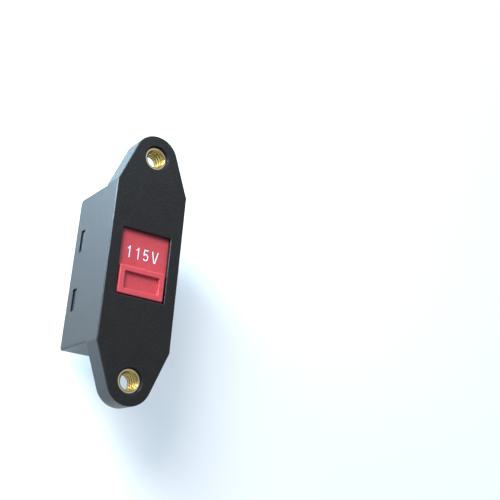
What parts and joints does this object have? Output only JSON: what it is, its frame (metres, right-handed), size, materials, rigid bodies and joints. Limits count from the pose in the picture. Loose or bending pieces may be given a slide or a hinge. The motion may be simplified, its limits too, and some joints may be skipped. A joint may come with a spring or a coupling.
{
  "type": "voltage selector switch",
  "caption": "Panel-mounted slide switch with a recessed red slider, a black case with two threaded ears, and blade terminals at the rear.",
  "frame": {"origin": "centre of the mounting plate's front face, midway between the two fixing holes", "axes": "+X along the switch towards the upper ear, +Y across it, +Z out of the front face"},
  "size_m": [0.0484, 0.0138, 0.019],
  "materials": {
    "case_black": "satin",
    "slider_red": "satin",
    "plunger_brass": "satin",
    "spring_steel": "satin",
    "rocker_brass": "satin",
    "contact_silver": "polished",
    "terminal_plate": "satin",
    "insert_brass": "polished"
  },
  "bodies": {
    "case": {"housing": "case_black", "base": "case_black", "terminal_common": "terminal_plate", "terminal_115": "terminal_plate", "terminal_230": "terminal_plate", "fixed_contact_115": "contact_silver", "fixed_contact_230": "contact_silver", "insert_upper": "insert_brass", "insert_lower": "insert_brass"},
    "slider": {"slider": "slider_red", "plunger_spring": "spring_steel"},
    "plunger": {"plunger": "plunger_brass"},
    "rocker": {"rocker": "rocker_brass", "rocker_contact_115": "contact_silver", "rocker_contact_230": "contact_silver"}
  },
  "joints": [
    {"name": "slider_slide", "type": "slide", "parent": "case", "child": "slider", "axis": [1, 0, 0], "range_m": [0, 0.0064]},
    {"name": "rocker_tilt", "type": "hinge", "parent": "case", "child": "rocker", "pos_m": [0, 0, -0.00859], "axis": [0, 1, 0], "range_deg": [0, 16]},
    {"name": "plunger_press", "type": "slide", "parent": "slider", "child": "plunger", "axis": [0, 0, 1], "range_m": [0, 0.0006], "stiffness_N_per_m": 400, "springref_m": -0.001, "deforming": ["plunger_spring"]}
  ],
  "couplings": [
    {"joint": "rocker_tilt", "follows": "slider_slide", "rad_per_m": 43.633}
  ]
}
